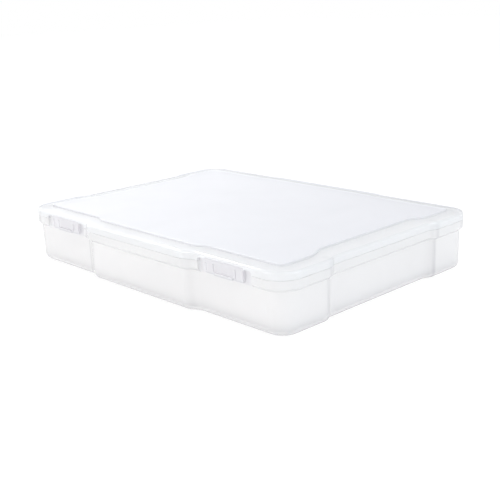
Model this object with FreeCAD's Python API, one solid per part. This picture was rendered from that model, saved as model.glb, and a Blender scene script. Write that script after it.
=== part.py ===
import FreeCAD, Part
import math
import os

from FreeCAD import Vector

# Photo keeper case: a shallow clear tray with a hinged snap lid, for a stack of 4 by 6 inch prints.
# Millimetres. X runs along the long side, the latches face -Y, the table is at z = 0.

# Outside of the closed case
case_length = 173.0
case_depth = 122.0
rim_height = 26.0
corner_radius = 10.0

# Stepped outline: the long sides bulge in the middle, the short sides are recessed in the middle
front_bulge = 2.5
back_bulge = 1.2
bulge_half_length = 35.2
bulge_step_length = 8.0
side_recess = 1.7
recess_half_length = 32.5
recess_step_length = 6.0

# Lid moulding
lid_wall = 1.2
skirt_depth = 3.3
seam = 0.15
lid_edge_radius = 1.1
panel_inset = 6.7
panel_rise = 0.8
riser_slant = 1.2
panel_recess = 3.8
panel_edge_radius = 0.5

# Tray moulding
tray_wall = 1.2
tray_floor = 1.3
wall_inset = 1.5
wall_draft = 0.1
band_height = 4.75
band_chamfer = 1.4
lip_gap = 0.4
base_radius = 3.0
inner_base_radius = 1.8

# Latch pockets in the front, one near each end
latch_from_end = 31.4
pocket_half_width = 15.2
pocket_rise = 1.5
pocket_corner = 1.1

# Latch flaps
flap_half_width = 10.85
flap_thickness = 0.7
flap_set_back = 0.2
flap_length = 5.5
flap_corner = 0.9
flap_side_gap = 0.2
film_clearance = 0.05
swing_room = 0.15
rib_width = 0.8
rib_stand = 0.35
rib_drop = 1.3
inner_rib_place = 6.2
lip_half_width = 5.2
lip_height = 1.1
lip_stand = 0.8
lip_end_radius = 0.7

# Snap catch on the tray and hook on the flap
catch_half_width = 5.6
catch_height = 1.0
catch_drop = 3.3
catch_clearance = 0.15
hook_height = 0.8
hook_reach = 0.4

# Snap hinges on the back, one near each end
hinge_from_end = 31.4
barrel_length = 12.0
barrel_radius = 1.5
pin_radius = 0.7
pin_clearance = 0.05
axis_stand = 1.4
ear_thickness = 1.8
ear_radius = 1.2
ear_root = 0.6
hinge_side_gap = 0.2
notch_clearance = 0.3
mouth_width = 1.1

# One overrun serves every cut, and points nearer than this count as the same
overrun = 1.0
near_enough = 0.01

# Places worked out from the sizes above
total_depth = case_depth + front_bulge + axis_stand + barrel_radius
front_plane = front_bulge - total_depth / 2
back_plane = front_plane + case_depth
skirt_bottom = rim_height - skirt_depth
band_top = skirt_bottom - seam
band_bottom = band_top - band_height
lid_underside = rim_height - lid_wall
lip_top = lid_underside - lip_gap
hinge_x = case_length / 2 - hinge_from_end
axis_y = back_plane + axis_stand
axis_z = band_top
latch_x = case_length / 2 - latch_from_end
pivot_y = front_plane + flap_set_back + flap_thickness / 2
pivot_z = skirt_bottom + pocket_rise
flap_bottom = pivot_z - flap_length
flap_front = front_plane + flap_set_back
flap_back = flap_front + flap_thickness
pocket_floor = front_plane + wall_inset


# Plan outline, walked anticlockwise as a chain of tangent arcs
# An arc is centre, radius, first angle, turn in degrees; a turn to the right is negative
def corner(x, y, radius, first_angle):
    return [(Vector(x, y, 0), radius, first_angle, 90.0)]


def step(x, y, heading, length, depth):
    """Two arcs that move the side inwards by depth, or outwards where depth is negative."""
    radius = (length ** 2 + depth ** 2) / (4 * abs(depth))
    turn = math.degrees(2 * math.atan2(abs(depth), length))
    ahead = Vector(math.cos(math.radians(heading)), math.sin(math.radians(heading)), 0)
    inward = Vector(-ahead.y, ahead.x, 0)
    start = Vector(x, y, 0)
    end = start + ahead * length + inward * depth
    if depth > 0:
        left = (start + inward * radius, radius, heading - 90, turn)
        right = (end - inward * radius, radius, heading + 90 + turn, -turn)
        return [left, right]
    right = (start - inward * radius, radius, heading + 90, -turn)
    left = (end + inward * radius, radius, heading - 90 - turn, turn)
    return [right, left]


def outline_arcs(shift, recess):
    """The arcs of the outline with every side moved inwards by shift. A deeper recess has longer steps."""
    half = case_length / 2 - shift
    front = front_plane + shift
    back = back_plane - shift
    middle = (front + back) / 2
    radius = corner_radius - shift
    near = bulge_half_length - bulge_step_length / 2
    far = bulge_half_length + bulge_step_length / 2
    slant = recess_step_length * recess / side_recess
    low = recess_half_length - slant / 2
    high = recess_half_length + slant / 2
    arcs = step(near, front - front_bulge, 0, bulge_step_length, front_bulge)
    arcs += corner(half - radius, front + radius, radius, -90)
    arcs += step(half, middle - high, 90, slant, recess)
    arcs += step(half - recess, middle + low, 90, slant, -recess)
    arcs += corner(half - radius, back - radius, radius, 0)
    arcs += step(far, back, 180, bulge_step_length, -back_bulge)
    arcs += step(-near, back + back_bulge, 180, bulge_step_length, back_bulge)
    arcs += corner(-half + radius, back - radius, radius, 90)
    arcs += step(-half, middle + high, 270, slant, recess)
    arcs += step(-half + recess, middle - low, 270, slant, -recess)
    arcs += corner(-half + radius, front + radius, radius, 180)
    arcs += step(-far, front, 0, bulge_step_length, -front_bulge)
    return arcs


def arc_point(centre, radius, angle, z):
    turn = math.radians(angle)
    return centre + Vector(radius * math.cos(turn), radius * math.sin(turn), z)


def outline(inset, z, shift=0.0, recess=side_recess):
    """The outline as a closed wire at height z, set in evenly by inset."""
    pieces = []
    for centre, radius, first, turn in outline_arcs(shift, recess):
        size = radius - math.copysign(inset, turn)
        pieces.append([arc_point(centre, size, first + turn * share, z) for share in (0, 0.5, 1)])
    chain = []
    for index, points in enumerate(pieces):
        following = pieces[(index + 1) % len(pieces)][0]
        chain.append(Part.Arc(*points).toShape())
        if following.distanceToPoint(points[2]) > near_enough:
            chain.append(Part.LineSegment(points[2], following).toShape())
    return Part.Wire(chain)


def slab(inset, low, high, shift=0.0, recess=side_recess):
    wire = outline(inset, low, shift, recess)
    return Part.Face(wire).extrude(Vector(0, 0, high - low))


def taper(low_inset, low, high_inset, high, shift=0.0, recess=side_recess):
    wires = [outline(low_inset, low, shift, recess), outline(high_inset, high, shift, recess)]
    return Part.makeLoft(wires, True, True)


def box(x_range, y_range, z_range):
    size = [high - low for low, high in (x_range, y_range, z_range)]
    return Part.makeBox(*size, Vector(x_range[0], y_range[0], z_range[0]))


def rod(x_range, y, z, radius):
    return Part.makeCylinder(radius, x_range[1] - x_range[0], Vector(x_range[0], y, z), Vector(1, 0, 0))


def edges_at(shape, z):
    """The edges that lie level at height z."""
    found = []
    for edge in shape.Edges:
        bounds = edge.BoundBox
        if abs(bounds.ZMin - z) < near_enough and abs(bounds.ZMax - z) < near_enough:
            found.append(edge)
    return found


def edges_along(shape, direction):
    """The straight edges that run along direction."""
    found = []
    for edge in shape.Edges:
        if edge.Curve.TypeId != "Part::GeomLine":
            continue
        if edge.Curve.Direction.cross(direction).Length < near_enough:
            found.append(edge)
    return found


# Tray: one moulding with a drafted wall, a band under the lid's skirt and a lip inside it
def tray_shell():
    body = taper(wall_inset + wall_draft, 0, wall_inset, band_bottom)
    body = body.makeFillet(base_radius, edges_at(body, 0))
    body = body.fuse(slab(wall_inset, band_bottom, lip_top))
    body = body.fuse(taper(band_chamfer, band_bottom, 0, band_bottom + band_chamfer))
    body = body.fuse(slab(0, band_bottom + band_chamfer, band_top))
    inside = wall_inset + tray_wall
    hollow = slab(inside + wall_draft / 2, tray_floor, lip_top + overrun)
    hollow = hollow.makeFillet(inner_base_radius, edges_at(hollow, tray_floor))
    return body.cut(hollow)


def band_pocket(x):
    """The recess that a latch flap lies in, cut back to the tray's wall."""
    cutter = box((x - pocket_half_width, x + pocket_half_width),
                 (front_plane - overrun, pocket_floor),
                 (band_bottom - overrun, band_top + overrun))
    inner = [edge for edge in edges_along(cutter, Vector(0, 0, 1))
             if abs(edge.Vertexes[0].Y - pocket_floor) < near_enough]
    return cutter.makeFillet(pocket_corner, inner)


def catch(x):
    """The ridge in the pocket that the flap's hook snaps under."""
    high = pivot_z - catch_drop
    low = high - catch_height
    front = flap_back + catch_clearance
    points = [Vector(0, pocket_floor + tray_wall / 2, low),
              Vector(0, front, low),
              Vector(0, front, low + catch_height / 2),
              Vector(0, pocket_floor, high),
              Vector(0, pocket_floor + tray_wall / 2, high)]
    face = Part.Face(Part.makePolygon(points + [points[0]]))
    ridge = face.extrude(Vector(2 * catch_half_width, 0, 0))
    return ridge.translated(Vector(x - catch_half_width, 0, 0))


def hinge_notch(x):
    """Room in the band for the lid's barrel."""
    reach = barrel_length / 2 + hinge_side_gap
    room = barrel_radius + notch_clearance
    return box((x - reach, x + reach), (axis_y - room, axis_y + room), (axis_z - room, band_top + overrun))


def hinge_ears(x):
    """Two ears with the pin between them, moulded with the band."""
    inner = barrel_length / 2 + hinge_side_gap
    outer = inner + ear_thickness
    shape = rod((x - outer, x + outer), axis_y, axis_z, pin_radius)
    for start in (x - outer, x + inner):
        span = (start, start + ear_thickness)
        shape = shape.fuse(rod(span, axis_y, axis_z, ear_radius))
        shape = shape.fuse(box(span, (back_plane - ear_root, axis_y), (axis_z - ear_radius, axis_z)))
    return shape


def tray():
    shape = tray_shell()
    for side in (-1, 1):
        shape = shape.cut(band_pocket(side * latch_x))
        shape = shape.fuse(catch(side * latch_x))
        shape = shape.cut(hinge_notch(side * hinge_x))
        shape = shape.fuse(hinge_ears(side * hinge_x))
    return shape.removeSplitter()


# Lid: one moulding, a shallow cap with a raised panel that lets cases stack without sliding
def lid_shell():
    cap = slab(0, skirt_bottom, rim_height)
    cap = cap.makeFillet(lid_edge_radius, edges_at(cap, rim_height))
    top = rim_height + panel_rise
    panel = taper(-riser_slant / 2, rim_height, riser_slant / 2, top, panel_inset, panel_recess)
    panel = panel.makeFillet(panel_edge_radius, edges_at(panel, top))
    cap = cap.fuse(panel)
    hollow = slab(lid_wall, skirt_bottom - overrun, lid_underside)
    rim = panel_inset + riser_slant / 2
    under = slab(lid_wall, lid_underside - overrun, top - lid_wall, rim, panel_recess)
    return cap.cut(hollow).cut(under)


def skirt_window(x):
    """The pocket goes on up into the skirt, with rounded upper corners."""
    cutter = box((x - pocket_half_width, x + pocket_half_width),
                 (front_plane - overrun, front_plane + wall_inset),
                 (skirt_bottom - overrun, pivot_z))
    upper = [edge for edge in edges_along(cutter, Vector(0, 1, 0))
             if abs(edge.Vertexes[0].Z - pivot_z) < near_enough]
    return cutter.makeFillet(pocket_corner, upper)


def film_groove(x):
    """The groove that the flap's round upper edge turns in, open to the front."""
    reach = flap_half_width + flap_side_gap
    span = (x - reach, x + reach)
    radius = flap_thickness / 2 + film_clearance
    groove = rod(span, pivot_y, pivot_z, radius)
    room = box(span, (front_plane - overrun, pivot_y), (pivot_z, pivot_z + radius + swing_room))
    return groove.fuse(room)


def hinge_barrel(x):
    """The clip that snaps over the tray's pin, and the web that joins it to the skirt."""
    span = (x - barrel_length / 2, x + barrel_length / 2)
    barrel = rod(span, axis_y, axis_z, barrel_radius)
    web = box(span, (back_plane - lid_wall, axis_y), (skirt_bottom, axis_z + barrel_radius))
    bore = rod((span[0] - overrun, span[1] + overrun), axis_y, axis_z, pin_radius + pin_clearance)
    half = mouth_width / 2
    mouth = box((span[0] - overrun, span[1] + overrun), (axis_y - half, axis_y + half),
                (axis_z - barrel_radius - overrun, axis_z))
    return barrel.fuse(web).cut(bore).cut(mouth)


def lid():
    shape = lid_shell()
    for side in (-1, 1):
        shape = shape.cut(skirt_window(side * latch_x))
        shape = shape.cut(film_groove(side * latch_x))
        shape = shape.fuse(hinge_barrel(side * hinge_x))
    return shape.removeSplitter()


# Latch: a thin flap with a round upper edge, stiffening ribs, a finger lip and a hook behind
def latch(x):
    half = flap_half_width
    plate = box((x - half, x + half), (flap_front, flap_back), (flap_bottom, pivot_z))
    lower = [edge for edge in edges_along(plate, Vector(0, 1, 0))
             if abs(edge.Vertexes[0].Z - flap_bottom) < near_enough]
    plate = plate.makeFillet(flap_corner, lower)
    shape = plate.fuse(rod((x - half, x + half), pivot_y, pivot_z, flap_thickness / 2))
    rib_low = flap_bottom + flap_corner
    rib_high = pivot_z - rib_drop
    for place in (-half, -inner_rib_place - rib_width / 2, inner_rib_place - rib_width / 2, half - rib_width):
        span = (x + place, x + place + rib_width)
        shape = shape.fuse(box(span, (flap_front - rib_stand, flap_front), (rib_low, rib_high)))
    lip = box((x - lip_half_width, x + lip_half_width),
              (flap_front - lip_stand, flap_front + flap_thickness / 2),
              (flap_bottom, flap_bottom + lip_height))
    ends = [edge for edge in edges_along(lip, Vector(0, 0, 1))
            if abs(edge.Vertexes[0].Y - (flap_front - lip_stand)) < near_enough]
    shape = shape.fuse(lip.makeFillet(lip_end_radius, ends))
    hook_top = pivot_z - catch_drop - catch_height - catch_clearance
    points = [Vector(0, flap_back - flap_thickness / 2, hook_top),
              Vector(0, flap_back + hook_reach, hook_top),
              Vector(0, flap_back, hook_top - hook_height),
              Vector(0, flap_back - flap_thickness / 2, hook_top - hook_height)]
    face = Part.Face(Part.makePolygon(points + [points[0]]))
    hook = face.extrude(Vector(2 * catch_half_width, 0, 0))
    shape = shape.fuse(hook.translated(Vector(x - catch_half_width, 0, 0)))
    return shape.removeSplitter()


def save(name, shape):
    if len(shape.Solids) != 1 or not shape.isValid():
        raise ValueError(name + " is not one valid solid")
    solid = shape.Solids[0]
    print(name, "volume", round(solid.Volume, 1), "faces", len(solid.Faces))
    solid.exportStep("parts/" + name + ".step")


os.makedirs("parts", exist_ok=True)
save("tray", tray())
save("lid", lid())
save("latch_left", latch(-latch_x))
save("latch_right", latch(latch_x))
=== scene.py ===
import bpy
import math
from mathutils import Matrix, Vector


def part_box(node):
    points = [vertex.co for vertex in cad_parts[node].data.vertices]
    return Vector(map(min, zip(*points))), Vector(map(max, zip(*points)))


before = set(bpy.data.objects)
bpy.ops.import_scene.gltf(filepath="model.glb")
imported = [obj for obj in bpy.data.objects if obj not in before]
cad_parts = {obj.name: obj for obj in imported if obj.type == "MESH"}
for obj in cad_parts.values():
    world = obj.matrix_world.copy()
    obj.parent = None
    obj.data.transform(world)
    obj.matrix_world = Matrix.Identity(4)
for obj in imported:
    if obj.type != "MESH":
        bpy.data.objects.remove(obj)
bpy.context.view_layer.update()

# Tray: the open base of the case, one injection moulding in milky polypropylene, polished outside.
# Painted shade darkens it at the rounded base, in the steps of the outline, round the front left and back
# right corners and in the latch pockets, where a painted glow lifts the shade again. The band is greyer,
# and the inside is left more satin.
MM = 0.001
FLOW_CLOUD = 30 * MM
CLOUD_TONE = 0.1
CLOUD_COVER = 0.05
SATIN_SPECK = 1.2 * MM
SPECK_SATIN = 0.10
SKIN_GRAIN = 1.1 * MM
SKIN_HEIGHT = 0.001 * MM
WALL_WOBBLE = 14 * MM
WOBBLE_HEIGHT = 6 * SKIN_HEIGHT
RESIN_IOR = 1.49
POLISH_IOR = 2.0
POLISH_ROUGHNESS = 0.1


class Amount:
    """One number that changes over a surface, written in plain sums."""

    def __init__(self, finish, socket):
        self.finish = finish
        self.socket = socket

    def sum_with(self, operation, first, second):
        node = self.finish.node("ShaderNodeMath", {"operation": operation}, {0: first, 1: second})
        return Amount(self.finish, node.outputs[0])

    def __add__(self, other):
        return self.sum_with("ADD", self, other)

    def __radd__(self, other):
        return self.sum_with("ADD", other, self)

    def __sub__(self, other):
        return self.sum_with("SUBTRACT", self, other)

    def __rsub__(self, other):
        return self.sum_with("SUBTRACT", other, self)

    def __mul__(self, other):
        return self.sum_with("MULTIPLY", self, other)

    def __rmul__(self, other):
        return self.sum_with("MULTIPLY", other, self)

    def __abs__(self):
        return self.sum_with("ABSOLUTE", self, 0.0)


class Finish:
    """The nodes of one material, or of the world."""

    def __init__(self, owner):
        self.owner = owner
        owner.use_nodes = True
        self.tree = owner.node_tree
        self.tree.nodes.clear()

    def node(self, kind, settings=None, sockets=None):
        """A node of one kind: its settings come first, then the values or links of its sockets."""
        node = self.tree.nodes.new(kind)
        for name, value in (settings or {}).items():
            setattr(node, name, value)
        for name, value in (sockets or {}).items():
            if isinstance(value, Amount):
                value = value.socket
            if isinstance(value, bpy.types.Node):
                value = value.outputs[0]
            if isinstance(value, bpy.types.NodeSocket):
                self.tree.links.new(value, node.inputs[name])
            else:
                node.inputs[name].default_value = value
        return node

    def noise(self, spot, size, detail=2.0, roughness=0.5, distortion=0.0):
        """Smooth noise from 0 to 1, whose lumps are about size across."""
        sockets = {"Vector": spot, "Scale": 1 / size, "Detail": detail, "Roughness": roughness,
                   "Distortion": distortion}
        return Amount(self, self.node("ShaderNodeTexNoise", {}, sockets).outputs["Fac"])

    def ramp(self, amount, low, high, low_value=0.0, high_value=1.0):
        """Goes smoothly from low_value to high_value while amount goes from low to high."""
        sockets = {"Value": amount, "From Min": low, "From Max": high, "To Min": low_value,
                   "To Max": high_value}
        node = self.node("ShaderNodeMapRange", {"interpolation_type": "SMOOTHSTEP"}, sockets)
        return Amount(self, node.outputs["Result"])

    def fade(self, amount, low, high):
        """Goes smoothly from 1 to 0 while amount goes from low to high."""
        return self.ramp(amount, low, high, 1.0, 0.0)

    def ridge(self, amount, centre, half):
        """1 on the line where amount is centre, and 0 from half away on both sides."""
        return self.ramp(amount, centre - half, centre) * self.fade(amount, centre, centre + half)

    def blend(self, amount, first, second):
        """A colour that is first where amount is 0 and second where it is 1."""
        sockets = {"Factor": amount, 6: first, 7: second}
        return self.node("ShaderNodeMix", {"data_type": "RGBA"}, sockets).outputs[2]

    def dress(self, node_name):
        """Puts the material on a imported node."""
        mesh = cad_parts[node_name].data
        mesh.materials.clear()
        mesh.materials.append(self.owner)


def milky_plastic(name, resin):
    """Milky polypropylene: clouded colour, satin sheen, a little see-through and a fine mould skin.

    resin says how each spot of a piece looks: its colour where it is clear, its darker colour and how far
    it is darkened, which on the tray and lid is painted shade, how satin its skin is, how much it hides,
    its polish and its painted glow.
    """
    finish = Finish(bpy.data.materials.new(name))
    spot = finish.node("ShaderNodeTexCoord").outputs["Object"]
    axes = finish.node("ShaderNodeSeparateXYZ", {}, {"Vector": spot})
    across, along, height = (Amount(finish, axes.outputs[axis]) for axis in "XYZ")
    look = resin(finish, across, along, height)
    clouds = finish.noise(spot, FLOW_CLOUD, detail=3.0, roughness=0.55, distortion=0.6) - 0.5
    specks = finish.noise(spot, SATIN_SPECK, detail=3.0, roughness=0.6) - 0.5
    skin = finish.noise(spot, SKIN_GRAIN)
    wobble = finish.noise(spot, WALL_WOBBLE, detail=1.0)
    relief = skin * SKIN_HEIGHT + wobble * WOBBLE_HEIGHT
    shader = finish.node("ShaderNodeBsdfPrincipled", {}, {
        # Base colour: darkened towards the darker colour, which on the tray and lid is painted shade.
        "Base Color": finish.blend(look["darkening"] + clouds * CLOUD_TONE, look["clear"], look["dark"]),
        "Roughness": specks * SPECK_SATIN + look["satin"],
        "Normal": finish.node("ShaderNodeBump", {}, {"Height": relief, "Distance": 1.0}),
        "IOR": RESIN_IOR,
        "Alpha": clouds * CLOUD_COVER + look["cover"],
        "Coat Weight": look["polish"],
        "Coat Roughness": POLISH_ROUGHNESS,
        "Coat IOR": POLISH_IOR,
        # Emission: the painted glow that lifts the shade in the latch pockets.
        "Emission Color": look["glow"],
        "Emission Strength": 1.0,
    })
    finish.node("ShaderNodeOutputMaterial", {}, {"Surface": shader})
    return finish


TRAY_WALL = (0.972, 0.966, 0.970, 1)
TRAY_BAND = (0.945, 0.944, 0.95, 1)
# Painted shade: the tray is darkened towards the colour below at the base, the steps, two corners and
# pockets.
TRAY_SHADE = (0.51, 0.50, 0.54, 1)
NO_GLOW = (0, 0, 0, 1)
# Painted glow: the latch pockets of tray and lid give off a little light of their own, lifting their
# shade.
POCKET_PAINTED_GLOW = (0.12, 0.117, 0.128, 1)
TRAY_COVER = 0.5
TRAY_SATIN = 0.16
HOLLOW_SATIN = 0.26
CORNER_SATIN = 0.4
# How far painted shade darkens the rounded base, the steps, the two corners and the latch pockets.
TOE_SHADE = 0.42
TRAY_STEP_SHADE = 0.45
CORNER_SHADE = 0.4
TRAY_POCKET_SHADE = 0.35
# Places are measured from the middle of the case, and heights from the table. A pair says where a
# tone begins and where it is full, or where it begins to fade and where it is gone.
TRAY_TOE = (0.0, 9.0 * MM)
TRAY_BAND_FOOT = (17.4 * MM, 18.6 * MM)
END_STEP = 34.6 * MM
TRAY_END_STEP_HALF = 1.6 * MM
TRAY_END_WALL = (80 * MM, 82 * MM)
FRONT_STEP = -38.0 * MM
FRONT_STEP_HALF = 1.0 * MM
TRAY_FRONT_WALL = (-54 * MM, -56 * MM)
TRAY_CORNERS = (136.6 * MM, 138.7 * MM)
TRAY_HOLLOW_ACROSS = (82.5 * MM, 81.0 * MM)
TRAY_HOLLOW_ALONG = (58.0 * MM, 56.5 * MM)
TRAY_POCKET_FOOT = (17.6 * MM, 18.2 * MM)
TRAY_POCKET_BACK = (-56.0 * MM, -57.0 * MM)
POCKET_MOUTH = (-61.0 * MM, -60.7 * MM)
POCKET_SIDES = (15.0 * MM, 15.5 * MM)
latch_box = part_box("latch_right")
LATCH_PLACE = (latch_box[0][0] + latch_box[1][0]) / 2


def latch_pockets(finish, across, along, back):
    """1 between the sides of the two pockets that the latches lie in, from their back to their mouth."""
    beside = finish.fade(abs(abs(across) - LATCH_PLACE), *POCKET_SIDES)
    return beside * finish.ramp(along, *back) * finish.ramp(along, *POCKET_MOUTH)


def tray_resin(finish, across, along, height):
    """Painted shade at base, steps, two corners and pockets, a painted glow in the pockets, satin inside.
    """
    toe = finish.fade(height, *TRAY_TOE)
    end_steps = finish.ridge(abs(along), END_STEP, TRAY_END_STEP_HALF)
    end_steps = end_steps * finish.ramp(abs(across), *TRAY_END_WALL)
    front_step = finish.ridge(across, FRONT_STEP, FRONT_STEP_HALF) * finish.ramp(along, *TRAY_FRONT_WALL)
    steps = end_steps + front_step
    # across + along is furthest from 0 at the front left and back right corners.
    corners = finish.ramp(abs(across + along), *TRAY_CORNERS)
    pockets = latch_pockets(finish, across, along, TRAY_POCKET_BACK)
    pockets = pockets * finish.ramp(height, *TRAY_POCKET_FOOT)
    hollow = finish.ramp(abs(across), *TRAY_HOLLOW_ACROSS) * finish.ramp(abs(along), *TRAY_HOLLOW_ALONG)
    # Painted shade: darkest at the rounded base, and also in the steps, the two corners and the pockets.
    darkening = toe * toe * TOE_SHADE + steps * TRAY_STEP_SHADE + corners * CORNER_SHADE
    return {
        "clear": finish.blend(finish.ramp(height, *TRAY_BAND_FOOT), TRAY_WALL, TRAY_BAND),
        "dark": TRAY_SHADE,
        "darkening": darkening + pockets * TRAY_POCKET_SHADE,
        "satin": hollow * HOLLOW_SATIN + TRAY_SATIN + corners * CORNER_SATIN,
        "cover": TRAY_COVER,
        "polish": 0.0,
        # Painted glow in the pockets.
        "glow": finish.blend(pockets, NO_GLOW, POCKET_PAINTED_GLOW),
    }


milky_plastic("tray_polypropylene", tray_resin).dress("tray")

# Lid: the cap, moulded from the same resin and clipped on the hinge pins at the back of the tray.
# The skirt and the rounded edge of the rim are polished, and the flat of the rim and the broad raised
# panel are satin. The back and left edges of the rim are rougher and hide more, and painted shade darkens
# them, the steps, two corners and the latch pockets, where a painted glow lifts the shade again.
LID_SKIRT = (0.94, 0.95, 0.965, 1)
LID_RISER = (0.875, 0.884, 0.91, 1)
LID_PANEL = (0.80, 0.81, 0.86, 1)
# Painted shade: the lid is darkened towards the colour below at the far rim, the steps, two corners and
# pockets.
LID_SHADE = (0.62, 0.64, 0.68, 1)
SKIRT_COVER = 0.55
PANEL_COVER = 0.7
FAR_RIM_COVER = 0.4
LID_SATIN = 0.14
PANEL_SATIN = 0.2
RIM_FLAT_SATIN = 0.16
FAR_RIM_SATIN = 0.7
# How far painted shade darkens the far rim, the steps and the latch pockets.
FAR_RIM_SHADE = 0.9
LID_STEP_SHADE = 0.25
LID_POCKET_SHADE = 0.4
RIM_TOP = (25.6 * MM, 26.0 * MM)
RIM_FLAT = (25.85 * MM, 25.98 * MM)
RIM_EDGE = 25.5 * MM
RIM_EDGE_HALF = 0.7 * MM
FAR_RIM_FOOT = (24.4 * MM, 25.2 * MM)
BACK_RIM = (58.4 * MM, 59.4 * MM)
LEFT_RIM = (-82.6 * MM, -83.6 * MM)
PANEL_CAST = (26.45 * MM, 26.7 * MM)
PANEL_HAZE = (26.5 * MM, 26.75 * MM)
PANEL_ACROSS = (79.8 * MM, 78.5 * MM)
PANEL_ALONG = (55.0 * MM, 53.5 * MM)
LID_END_STEP_HALF = 2.5 * MM
LID_END_WALL = (81 * MM, 83 * MM)
LID_CORNERS = (138.4 * MM, 140.7 * MM)
LID_POCKET_TOP = (24.4 * MM, 25.0 * MM)
LID_POCKET_BACK = (-58.0 * MM, -59.0 * MM)


def lid_resin(finish, across, along, height):
    """Painted shade on far rim, steps, two corners, pockets; painted glow in pockets; polished rounded
    edge.
    """
    far = finish.ramp(along, *BACK_RIM) + finish.ramp(across, *LEFT_RIM)
    far = far * finish.ramp(height, *FAR_RIM_FOOT)
    steps = finish.ridge(abs(along), END_STEP, LID_END_STEP_HALF) * finish.ramp(abs(across), *LID_END_WALL)
    corners = finish.ramp(abs(across + along), *LID_CORNERS)
    pockets = latch_pockets(finish, across, along, LID_POCKET_BACK)
    pockets = pockets * finish.fade(height, *LID_POCKET_TOP)
    panel = finish.ramp(abs(across), *PANEL_ACROSS) * finish.ramp(abs(along), *PANEL_ALONG)
    rim_flat = finish.ramp(height, *RIM_FLAT) * (1.0 - panel)
    raised = finish.blend(finish.ramp(height, *PANEL_CAST), LID_RISER, LID_PANEL)
    # Painted shade at the far rim, the steps, the two corners and the pockets.
    darkening = far * FAR_RIM_SHADE + steps * LID_STEP_SHADE + corners * CORNER_SHADE
    satin = panel * PANEL_SATIN + rim_flat * RIM_FLAT_SATIN + LID_SATIN
    haze = finish.ramp(height, *PANEL_HAZE) * (PANEL_COVER - SKIRT_COVER)
    return {
        "clear": finish.blend(finish.ramp(height, *RIM_TOP), LID_SKIRT, raised),
        "dark": LID_SHADE,
        "darkening": darkening + pockets * LID_POCKET_SHADE,
        "satin": satin + far * FAR_RIM_SATIN + corners * CORNER_SATIN,
        "cover": haze + SKIRT_COVER + far * FAR_RIM_COVER,
        "polish": finish.ridge(height, RIM_EDGE, RIM_EDGE_HALF) * (1.0 - far),
        # Painted glow in the pockets.
        "glow": finish.blend(pockets, NO_GLOW, POCKET_PAINTED_GLOW),
    }


milky_plastic("lid_polypropylene", lid_resin).dress("lid")

# Latches: two thin flaps on film hinges, with ribs, a finger lip and a hook behind, moulded with the lid.
# They are polished and a little darker than the skirt, most of all along the finger lip.
LATCH_LIP = (18.7 * MM, 19.7 * MM)
LATCH_FOOT = (0.86, 0.85, 0.89, 1)
LATCH_FLAP = (0.88, 0.87, 0.90, 1)
LATCH_DARK = (0.66, 0.67, 0.70, 1)
LATCH_COVER = 0.5
LATCH_SATIN = 0.16
LIP_TONE = 0.5
FLAP_TONE = 0.05


def latch_resin(finish, across, along, height):
    """Darker along the finger lip at the foot, and lighter above it."""
    return {
        "clear": finish.blend(finish.ramp(height, *LATCH_LIP), LATCH_FOOT, LATCH_FLAP),
        "dark": LATCH_DARK,
        "darkening": finish.ramp(height, *LATCH_LIP, LIP_TONE, FLAP_TONE),
        "satin": LATCH_SATIN,
        "cover": LATCH_COVER,
        "polish": 0.0,
        "glow": NO_GLOW,
    }


latch_plastic = milky_plastic("latch_polypropylene", latch_resin)
for latch in ("latch_left", "latch_right"):
    latch_plastic.dress(latch)

# Floor: a plain white sweep of matt paper that lights the case from below.
# To the eye it is white, and only the case's soft contact shadow shows on it.
FLOOR_HALF = 3.0
PAPER_GREY = (0.9, 0.9, 0.9, 1)
PAPER_WHITE = 1.04
SHADOW_SHARE = 0.15
SHADOW_GREY = (SHADOW_SHARE, SHADOW_SHARE, SHADOW_SHARE, 1)
PAPER_LIFT = PAPER_WHITE - SHADOW_SHARE
floor_mesh = bpy.data.meshes.new("floor")
floor_corners = [(-FLOOR_HALF, -FLOOR_HALF, 0), (FLOOR_HALF, -FLOOR_HALF, 0),
                 (FLOOR_HALF, FLOOR_HALF, 0), (-FLOOR_HALF, FLOOR_HALF, 0)]
floor_mesh.from_pydata(floor_corners, [], [(0, 1, 2, 3)])
floor = bpy.data.objects.new("floor", floor_mesh)
bpy.context.scene.collection.objects.link(floor)
paper = Finish(bpy.data.materials.new("white_paper"))
sight = paper.node("ShaderNodeLightPath")
eye = sight.outputs["Is Camera Ray"]
glossy = Amount(paper, sight.outputs["Is Glossy Ray"])
through = glossy + Amount(paper, sight.outputs["Is Transmission Ray"])
matt = paper.node("ShaderNodeBsdfDiffuse", {}, {"Color": PAPER_GREY})
shadowed = paper.node("ShaderNodeBsdfDiffuse", {}, {"Color": SHADOW_GREY})
lift = paper.node("ShaderNodeEmission", {}, {"Strength": PAPER_LIFT})
white = paper.node("ShaderNodeEmission", {}, {"Strength": 1.0})
lifted = paper.node("ShaderNodeAddShader", {}, {0: shadowed, 1: lift})
plain = paper.node("ShaderNodeMixShader", {}, {0: eye, 1: matt, 2: lifted})
choice = paper.node("ShaderNodeMixShader", {}, {0: through, 1: plain, 2: white})
paper.node("ShaderNodeOutputMaterial", {}, {"Surface": choice})
floor_mesh.materials.append(paper.owner)

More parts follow.
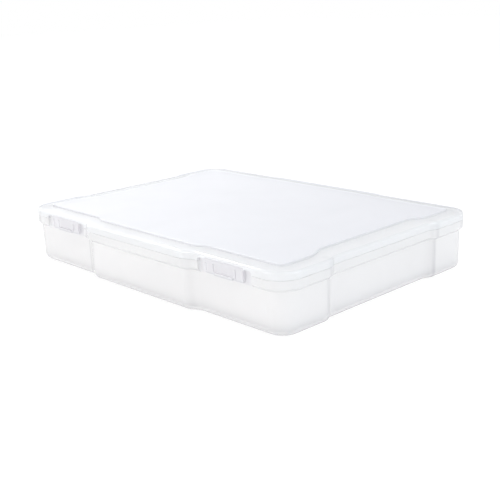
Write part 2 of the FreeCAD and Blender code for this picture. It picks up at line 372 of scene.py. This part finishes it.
# World: white to the eye, and an even soft light on the case. Only in its gloss a wall on the left is
# brighter, which gives the lid a soft fall of light from left to right.
WHITE = (1, 1, 1, 1)
SKY_LIGHT = 0.9
WALL_LIGHT = SKY_LIGHT + 1.0
WALL_SIDE = (-0.5, -0.95)
bpy.context.scene.world = bpy.data.worlds.new("studio")
sky = Finish(bpy.context.scene.world)
sight = sky.node("ShaderNodeLightPath")
seen = Amount(sky, sight.outputs["Is Camera Ray"]) + Amount(sky, sight.outputs["Is Transmission Ray"])
heading = sky.node("ShaderNodeTexCoord").outputs["Generated"]
axes = sky.node("ShaderNodeSeparateXYZ", {}, {"Vector": heading})
wall = sky.ramp(Amount(sky, axes.outputs["X"]), *WALL_SIDE, SKY_LIGHT, WALL_LIGHT)
shown = sky.node("ShaderNodeBackground", {}, {"Color": WHITE, "Strength": 1.0})
even = sky.node("ShaderNodeBackground", {}, {"Color": WHITE, "Strength": SKY_LIGHT})
bright = sky.node("ShaderNodeBackground", {}, {"Color": WHITE, "Strength": wall})
lit = sky.node("ShaderNodeMixShader", {}, {0: sight.outputs["Is Glossy Ray"], 1: even, 2: bright})
choice = sky.node("ShaderNodeMixShader", {}, {0: seen, 1: lit, 2: shown})
sky.node("ShaderNodeOutputWorld", {}, {"Surface": choice})

# Lamps: a large softbox in front, a cool one on the right that parts the two sides of the case, and a
# small one high on the left for the glint along the rim.


def softbox(name, place, side, watts, colour=(1, 1, 1)):
    """A square lamp that points at the case."""
    lamp = bpy.data.lights.new(name, "AREA")
    lamp.shape = "SQUARE"
    lamp.size = side
    lamp.energy = watts
    lamp.color = colour
    holder = bpy.data.objects.new(name, lamp)
    bpy.context.scene.collection.objects.link(holder)
    holder.location = place
    holder.rotation_euler = (-Vector(place)).to_track_quat("-Z", "Y").to_euler()


softbox("softbox_front", place=(-0.25, -1.1, 0.4), side=0.8, watts=3.4)
softbox("softbox_side", place=(1.1, 0.3, 0.4), side=0.8, watts=3.5, colour=(0.84, 0.92, 1.0))
softbox("softbox_glint", place=(-0.7, 0.05, 0.72), side=0.12, watts=2.8)

# Camera: where the photograph was taken from, found from the edges of the case in it.
# The focal length is given in the photograph's pixels.
CAMERA_PLACE = Vector((289.4, -267.8, 121.15)) * MM
CAMERA_HEADING = math.radians(43.32)
CAMERA_PITCH = math.radians(16.39)
CAMERA_ROLL = math.radians(-2.30)
FOCAL_PIXELS = 861.2
PHOTO_PIXELS = 500
SENSOR_WIDTH = 36.0
CLIP_START = 0.01
ahead = Vector((-math.cos(CAMERA_HEADING) * math.cos(CAMERA_PITCH),
                math.sin(CAMERA_HEADING) * math.cos(CAMERA_PITCH), -math.sin(CAMERA_PITCH)))
level_right = ahead.cross(Vector((0, 0, 1))).normalized()
level_up = level_right.cross(ahead)
right = level_right * math.cos(CAMERA_ROLL) + level_up * math.sin(CAMERA_ROLL)
up = -level_right * math.sin(CAMERA_ROLL) + level_up * math.cos(CAMERA_ROLL)
lens = bpy.data.cameras.new("camera")
lens.sensor_width = SENSOR_WIDTH
lens.lens = SENSOR_WIDTH * (FOCAL_PIXELS / PHOTO_PIXELS)
lens.clip_start = CLIP_START
camera = bpy.data.objects.new("camera", lens)
bpy.context.scene.collection.objects.link(camera)
camera.matrix_world = Matrix.Translation(CAMERA_PLACE) @ Matrix((right, up, -ahead)).transposed().to_4x4()
bpy.context.scene.camera = camera
bpy.context.scene.view_settings.view_transform = "Standard"
